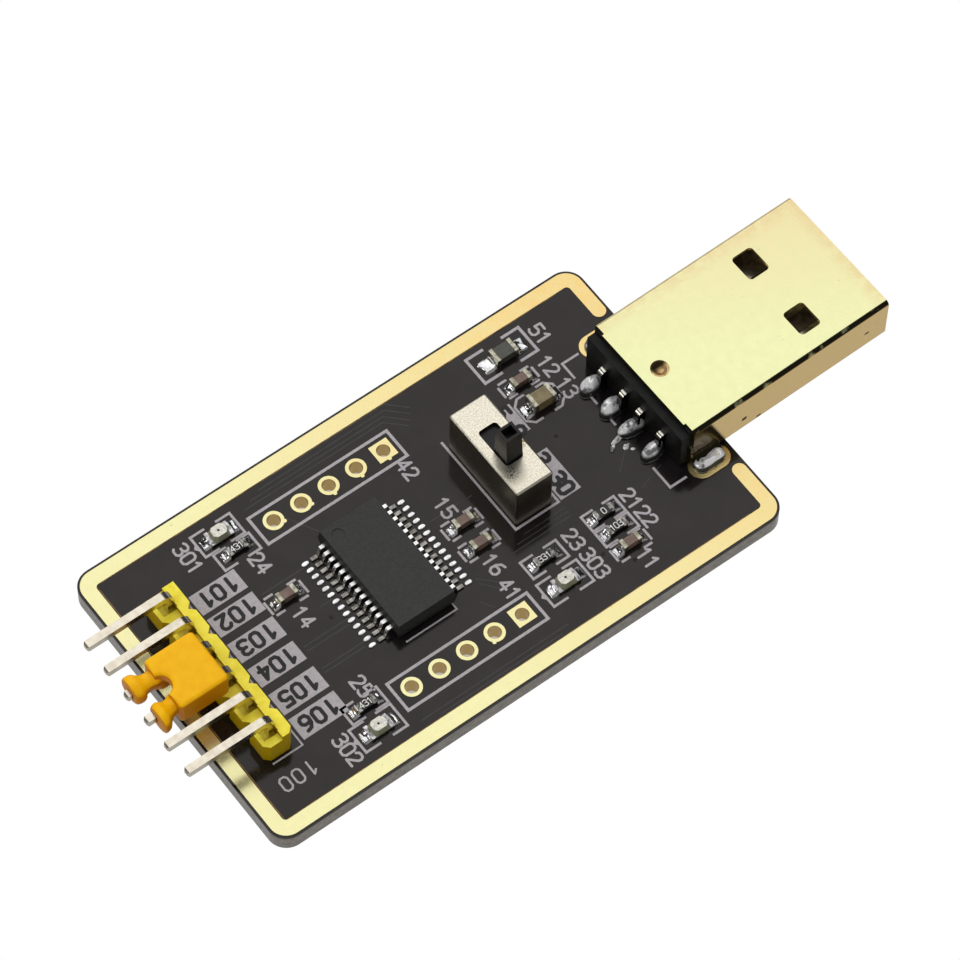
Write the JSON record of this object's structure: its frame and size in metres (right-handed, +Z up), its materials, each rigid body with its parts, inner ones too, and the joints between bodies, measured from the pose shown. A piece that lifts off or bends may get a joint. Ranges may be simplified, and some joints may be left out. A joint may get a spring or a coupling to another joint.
{
  "type": "usb to serial adapter module",
  "caption": "Small black circuit board with an A-type plug at one end, bent header pins with a pull-off jumper cap at the other, a slide switch and a chip between them.",
  "frame": {"origin": "under the middle of the whole module, at the level that its solder tails and plug tabs rest on", "axes": "+X along the board towards the plug, +Y across the board, +Z up out of the populated face"},
  "size_m": [0.0654, 0.027, 0.0104],
  "materials": {
    "solder_mask": "black solder mask over a woven laminate, satin",
    "gold_plate": "flat gold plating",
    "header_plastic": "moulded, satin",
    "jumper_plastic": "moulded, soft gloss",
    "pin_metal": "tinned, dull",
    "spring_metal": "spring bronze",
    "switch_steel": "plated, fine grain",
    "black_plastic": "moulded, satin",
    "chip_resin": "moulded resin",
    "lead_metal": "tinned",
    "solder": "bright solder",
    "plug_gold": "gold plated sheet, polished",
    "contact_gold": "gold plated",
    "capacitor_ceramic": "fired ceramic, matt",
    "resistor_coat": "glass coat over ceramic",
    "ferrite_body": "fired ferrite, matt",
    "led_board": "laminate",
    "led_lens": "clear resin, slightly cloudy"
  },
  "bodies": {
    "board": {"capacitor_1": "capacitor_ceramic", "capacitor_2": "capacitor_ceramic", "capacitor_3": "capacitor_ceramic", "capacitor_4": "capacitor_ceramic", "capacitor_5": "capacitor_ceramic", "capacitor_6": "capacitor_ceramic", "capacitor_terminals": "lead_metal", "chip_body": "chip_resin", "chip_lead_solder": "solder", "chip_leads_left": "lead_metal", "chip_leads_right": "lead_metal", "circuit_board": "solder_mask", "component_solder": "solder", "edge_band_bottom": "gold_plate", "edge_band_top": "gold_plate", "ferrite_bead": "ferrite_body", "ferrite_terminals": "lead_metal", "header_housing": "header_plastic", "header_pin_1": "pin_metal", "header_pin_2": "pin_metal", "header_pin_3": "pin_metal", "header_pin_4": "pin_metal", "header_pin_5": "pin_metal", "header_pin_6": "pin_metal", "header_solder": "solder", "led_1": "led_board", "led_2": "led_board", "led_3": "led_board", "led_lenses": "led_lens", "led_terminals": "lead_metal", "pin_row_plating_far": "gold_plate", "pin_row_plating_near": "gold_plate", "resistor_1": "resistor_coat", "resistor_2": "resistor_coat", "resistor_3": "resistor_coat", "resistor_4": "resistor_coat", "resistor_5": "resistor_coat", "resistor_terminals": "lead_metal", "switch_base": "black_plastic", "switch_case": "switch_steel", "switch_solder": "solder", "switch_terminal_1": "lead_metal", "switch_terminal_2": "lead_metal", "switch_terminal_3": "lead_metal", "usb_contact_1": "contact_gold", "usb_contact_2": "contact_gold", "usb_contact_3": "contact_gold", "usb_contact_4": "contact_gold", "usb_contact_solder": "solder", "usb_insulator": "black_plastic", "usb_shell": "plug_gold", "usb_tab_pads": "gold_plate", "usb_tab_solder": "solder"},
    "slider": {"switch_slider": "black_plastic", "switch_wiper": "spring_metal"},
    "jumper": {"jumper_housing": "jumper_plastic", "jumper_contact": "spring_metal"}
  },
  "joints": [
    {"name": "switch_slide", "type": "slide", "parent": "board", "child": "slider", "axis": [0, 1, 0], "range_m": [0, 0.00181]},
    {"name": "jumper_pull", "type": "slide", "parent": "board", "child": "jumper", "axis": [-1, 0, 0], "range_m": [0, 0.0085]}
  ]
}
